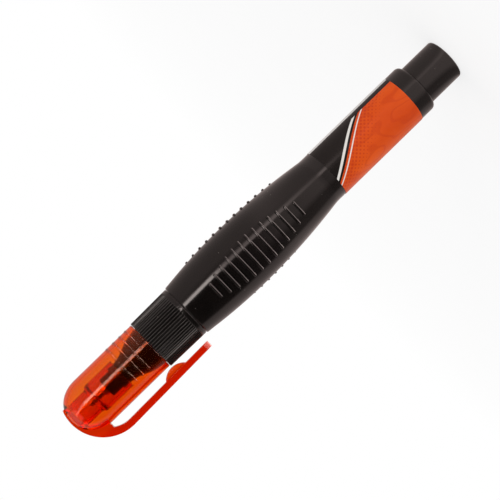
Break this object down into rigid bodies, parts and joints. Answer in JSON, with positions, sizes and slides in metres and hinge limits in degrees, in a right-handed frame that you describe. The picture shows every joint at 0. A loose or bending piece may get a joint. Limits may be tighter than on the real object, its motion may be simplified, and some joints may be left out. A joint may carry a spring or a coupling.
{
  "type": "correction pen",
  "caption": "Upright correction fluid pen with a ribbed squeeze barrel, screw collar, spring valve metal tip and a translucent cap with a pocket clip.",
  "frame": {"origin": "centre of the flat end of the tail post, on which the pen stands", "axes": "+Z along the pen's axis from the tail to the cap, -X towards the pocket clip, -Y towards the label's front"},
  "size_m": [0.0219, 0.0193, 0.1402],
  "materials": {
    "barrel_black": "gloss moulded",
    "label_film": "printed gloss film",
    "natural_plastic": "natural moulded",
    "collar_black": "satin moulded",
    "nose_black": "satin moulded",
    "bright_nickel": "bright plated",
    "tip_steel": "drawn",
    "spring_steel": "drawn",
    "clear_orange": "translucent polished"
  },
  "bodies": {
    "barrel": {"barrel": "barrel_black", "tail_plug": "barrel_black", "label": "label_film"},
    "head": {"nose_cone": "nose_black", "tip_holder": "bright_nickel", "tip_tube": "tip_steel", "spring_seat": "natural_plastic", "valve_spring": "spring_steel", "neck_seal": "natural_plastic"},
    "collar": {"knurled_collar": "collar_black"},
    "needle": {"valve_needle": "tip_steel", "needle_carrier": "natural_plastic"},
    "ball": {"mixing_ball": "spring_steel"},
    "cap": {"cap": "clear_orange"}
  },
  "joints": [
    {"name": "head_lift", "type": "slide", "parent": "barrel", "child": "head", "axis": [0, 0, 1], "range_m": [0, 0.0054]},
    {"name": "collar_turn", "type": "hinge", "parent": "head", "child": "collar", "pos_m": [0, 0, 0.1044], "axis": [0, 0, 1], "range_deg": [0, 1080]},
    {"name": "cap_pull", "type": "slide", "parent": "head", "child": "cap", "axis": [0, 0, 1], "range_m": [0, 0.045]},
    {"name": "needle_press", "type": "slide", "parent": "head", "child": "needle", "axis": [0, 0, -1], "range_m": [0, 0.00045], "stiffness_N_per_m": 200, "springref_m": -0.002, "deforming": ["valve_spring"]},
    {"name": "ball_rattle", "type": "slide", "parent": "barrel", "child": "ball", "axis": [0, 0, 1], "range_m": [0, 0.09]}
  ],
  "couplings": [
    {"joint": "collar_turn", "follows": "head_lift", "rad_per_m": 3490.7}
  ]
}
